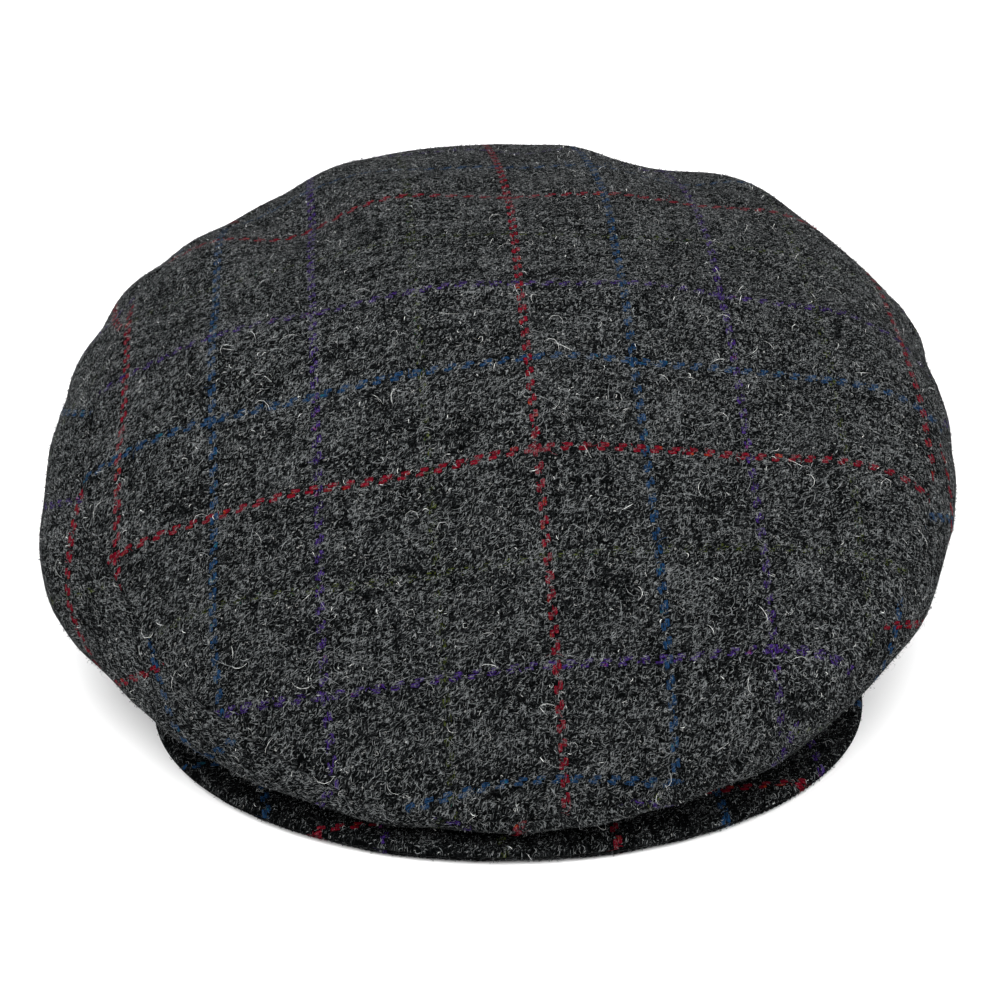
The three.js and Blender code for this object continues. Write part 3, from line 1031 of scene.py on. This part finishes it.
def heather(s, u, v, i, j, warp, later):
    """How much paler some lengths of yarn are than others, as a shift for the fibres' noises."""
    yarn = yarn_noise(s, warp, (i, v), (u, j), HEATHER, 3)
    patch = s.math("MULTIPLY", s.noise(s.at(u, v, 5), HEATHER["patch"], 2.0), HEATHER["patch_share"])
    both = s.math("MULTIPLY_ADD", yarn, HEATHER["yarn_share"], patch)
    middle = (HEATHER["yarn_share"] + HEATHER["patch_share"]) / 2
    return s.math("SUBTRACT", both, middle + later)


def check_line(s, number, visible):
    """Where a yarn belongs to a check line and shows, and that line's place in the colour order."""
    place_in_check = s.math("FLOORED_MODULO", s.math("ADD", number, 1.0), float(CHECK_YARNS))
    on_line = s.math("MULTIPLY", s.math("LESS_THAN", place_in_check, 1.5), visible)
    order = s.math("FLOOR", s.math("DIVIDE", s.math("ADD", number, 1.5), float(CHECK_YARNS)))
    order = s.math("FLOORED_MODULO", order, float(len(CHECK_LINES)))
    return on_line, s.math("DIVIDE", s.math("ADD", order, 0.5), float(len(CHECK_LINES)))


def by_line(s, order, colours):
    """Picks one of the check lines' colours by the line's place in the order."""
    node = s.node("ShaderNodeValToRGB")
    ramp = node.color_ramp
    ramp.interpolation = "CONSTANT"
    while len(ramp.elements) < len(colours):
        ramp.elements.new(0.5)
    for k, colour in enumerate(colours):
        ramp.elements[k].position = k / len(colours)
        ramp.elements[k].color = rgba(colour)
    s.put(node.inputs[0], order)
    return node.outputs[0]


# How fast a dyed yarn's strands change across it and along it
STRAND = {"across": 4.2, "along": 0.9}


def dyed_yarn(s, u, v, warp, order):
    """Colour of a check line's yarn, and where its strands aren't hidden by grey ones."""
    strand = yarn_noise(s, warp, (u, v), (u, v), STRAND, 6)
    colour = by_line(s, order, [line["colour"] for line in CHECK_LINES])
    fleck = by_line(s, order, [line["fleck"] for line in CHECK_LINES])
    shows = by_line(s, order, [(line["shows"],) * 3 for line in CHECK_LINES])
    shows = s.node("ShaderNodeSeparateColor", {0: shows}).outputs[0]
    spot = s.ramp(s.noise(s.at(u, v, 8), 0.55, 1.0), 0.66, 0.72)
    colour = s.mix(s.math("MULTIPLY", spot, 0.8), colour, fleck)
    dark = s.mix(0.72, colour, (0, 0, 0, 1))
    colour = s.mix(s.ramp(strand, 0.36, 0.6), dark, colour)
    return colour, s.ramp(s.math("ADD", strand, shows), 0.98, 1.12)


def tweed_material(name, fineness, later):
    """Hairy wool twill. fineness scales its fibres, and later holds back how many of them show."""
    s = Shader(name)
    uv = s.node("ShaderNodeUVMap", uv_map="Weave").outputs[0]
    wander = s.node("ShaderNodeTexNoise", {"Vector": uv, "Scale": 0.9, "Detail": 1.0}).outputs["Color"]
    shift = s.node("ShaderNodeVectorMath", {0: wander, 1: (0.5, 0.5, 0.5)}, operation="SUBTRACT").outputs[0]
    shift = s.node("ShaderNodeVectorMath", {0: shift, 1: (0.5, 0.5, 0)}, operation="MULTIPLY").outputs[0]
    moved = s.node("ShaderNodeVectorMath", {0: uv, 1: shift}, operation="ADD").outputs[0]
    split = s.node("ShaderNodeSeparateXYZ", {0: moved})
    u, v = split.outputs[0], split.outputs[1]
    i, j, warp, yarn_height = yarn_cells(s, u, v)

    clump = s.noise(s.at(u, v, 1), 0.42, 2.0)
    fine = s.noise(s.at(u, v, 2), 1.7 * fineness, 2.0)
    body = s.math("MULTIPLY", s.ramp(clump, 0.3, 0.72), s.ramp(fine, 0.32, 0.75))
    # Darker where the yarn lies low: painted shade between the yarns, over the wool's own random tone
    body = s.math("MULTIPLY", body, s.math("MULTIPLY_ADD", yarn_height, 0.55, 0.45))
    colour = s.mix(body, rgba(TWEED["shadow"]), rgba(TWEED["wool"]))

    warp_line, warp_order = check_line(s, i, warp)
    weft_line, weft_order = check_line(s, j, s.math("SUBTRACT", 1.0, warp))
    on_line = s.math("MAXIMUM", warp_line, weft_line)
    order = s.math("MULTIPLY_ADD", s.math("SUBTRACT", weft_order, warp_order), weft_line, warp_order)
    dyed, strands = dyed_yarn(s, u, v, warp, order)
    edge = s.ramp(yarn_height, 0.02, 0.22)
    shown = s.math("MULTIPLY", s.math("MULTIPLY", on_line, edge), strands)
    colour = s.mix(shown, colour, dyed)

    over_line = s.math("MULTIPLY_ADD", shown, -0.65, 1.0)
    # Fibres dimmer where the yarn lies low: painted shade between the yarns
    yarn_shading = s.math("MULTIPLY_ADD", yarn_height, 0.45, 0.55)
    height = s.math("MULTIPLY", yarn_height, 0.5)
    drift = heather(s, u, v, i, j, warp, later)
    lines = [(kind["tone"], dashes(s, u, v, 11 + 10 * k, kind, fineness, drift))
             for k, kind in enumerate(FIBRE_LAYERS)]
    lines.append(("white", strokes(s, u, v, 101, 1.5 * fineness, 0.03, 0.3)))
    for tone, line in lines:
        line = s.math("MULTIPLY", s.math("MULTIPLY", line, over_line), yarn_shading)
        colour = s.mix(line, colour, rgba(TWEED[tone]))
        height = s.math("MULTIPLY_ADD", line, 0.3, height)
    height = s.math("MULTIPLY_ADD", fine, 0.6, height)
    rough = s.math("MULTIPLY_ADD", fine, 0.1, 0.88)
    return s.finish(colour, rough, height, *TWEED_BUMP)


def fibre_material(name, colour):
    """Wool fibre, a little lighter and darker along its length."""
    s = Shader(name)
    where = s.node("ShaderNodeTexCoord").outputs["Object"]
    tone = s.noise(where, 900, 1.0)
    shade = s.mix(s.ramp(tone, 0.35, 0.65), rgba(colour, 0.6), rgba(colour, 1.35))
    return s.finish(shade, 0.75, tone, *FIBRE_BUMP)


FLOOR_TONES = {"dark": (0.89, 0.89, 0.89), "light": (0.91, 0.91, 0.91)}


def floor_material():
    s = Shader("pale_floor")
    where = s.node("ShaderNodeTexCoord").outputs["Object"]
    tone = s.noise(where, 6, 2.0)
    colour = s.mix(tone, rgba(FLOOR_TONES["dark"]), rgba(FLOOR_TONES["light"]))
    return s.finish(colour, 0.9, tone, *FLOOR_BUMP)


# Floor, light and camera


def add_floor():
    bpy.ops.mesh.primitive_plane_add(size=8, location=(0, 0, -0.0002))
    floor = bpy.context.object
    floor.name = "floor"
    floor.data.materials.append(floor_material())


LIGHTS = [
    {"name": "overhead", "place": (0, -0.35, 1.5), "size": 1.8, "watts": 48},
    {"name": "side_left", "place": (-1.5, -0.1, 0.6), "size": 1.2, "watts": 18.5},
    {"name": "side_right", "place": (1.5, -0.1, 0.6), "size": 1.2, "watts": 18.5},
]
WORLD_STRENGTH = 0.39


def add_lights():
    for light in LIGHTS:
        data = bpy.data.lights.new(light["name"], "AREA")
        data.shape = "DISK"
        data.size = light["size"]
        data.energy = light["watts"]
        lamp = bpy.data.objects.new(light["name"], data)
        lamp.location = light["place"]
        lamp.rotation_euler = (-Vector(light["place"])).to_track_quat("-Z", "Y").to_euler()
        bpy.context.scene.collection.objects.link(lamp)
    world = bpy.data.worlds.new("studio")
    world.use_nodes = True
    background = world.node_tree.nodes["Background"]
    background.inputs["Color"].default_value = (1, 1, 1, 1)
    background.inputs["Strength"].default_value = WORLD_STRENGTH
    bpy.context.scene.world = world


# The camera's height above the cap, in degrees, its distance and its shift off the cap, in mm
CAMERA_RISE = 36.86
CAMERA_DISTANCE = 618.8
CAMERA_UP = 17.07
CAMERA_RIGHT = -1.61
CAMERA_ROLL = 0.65
LENS = 76.3


def add_camera():
    rise = math.radians(CAMERA_RISE)
    roll = math.radians(CAMERA_ROLL)
    up = Vector((0, math.sin(rise), math.cos(rise)))
    ahead = Vector((0, math.cos(rise), -math.sin(rise)))
    right = Vector((1, 0, 0))
    place_mm = -ahead * CAMERA_DISTANCE + up * CAMERA_UP + right * CAMERA_RIGHT + Vector(OFFSET)
    turned_right = right * math.cos(roll) - up * math.sin(roll)
    turned_up = right * math.sin(roll) + up * math.cos(roll)
    data = bpy.data.cameras.new("camera")
    data.lens = LENS
    data.sensor_width = 36
    data.clip_start = 0.01
    camera = bpy.data.objects.new("camera", data)
    bpy.context.scene.collection.objects.link(camera)
    turn = Matrix((turned_right, turned_up, -ahead)).transposed()
    camera.matrix_world = Matrix.Translation(place_mm / 1000) @ turn.to_4x4()
    bpy.context.scene.camera = camera


def make_cap():
    tweed = tweed_material("tweed", 1.0, 0.0)
    # The peak's copy: finer fibres for its pressed cloth, and fewer pale fibres, a darkening that is
    # painted shade under the crown's overhang
    pressed_and_shaded = tweed_material("tweed_pressed_and_shaded", 1.25, 0.05)
    top = top_panel(tweed)
    left = side_panel("side_panel_left_cloth", "side_panel_left", 1, tweed)
    right = side_panel("side_panel_right_cloth", "side_panel_right", -1, tweed)
    upper = peak_cover("peak_cover_upper", "peak_top_cover", True, pressed_and_shaded)
    lower = peak_cover("peak_cover_lower", "peak_under_cover", False, pressed_and_shaded)
    wool = [fibre_material("wool_" + name, colour) for name, colour in FIBRE_TONES.items()]
    crown = {"top": top, "side_left": left, "side_right": right}
    for first_seed, kind, sizes in ((1, "nap", NAP), (4, "hairs", HAIRS)):
        for seed, (panel_name, panel) in enumerate(crown.items(), first_seed):
            fibres(f"{kind}_{panel_name}", panel, sizes, seed, wool)
    fibres("nap_peak", upper, NAP, 7, wool)
    fibres("nap_peak_under", lower, NAP, 8, wool)


make_cap()
add_floor()
add_lights()
add_camera()
bpy.context.scene.view_settings.view_transform = "Standard"
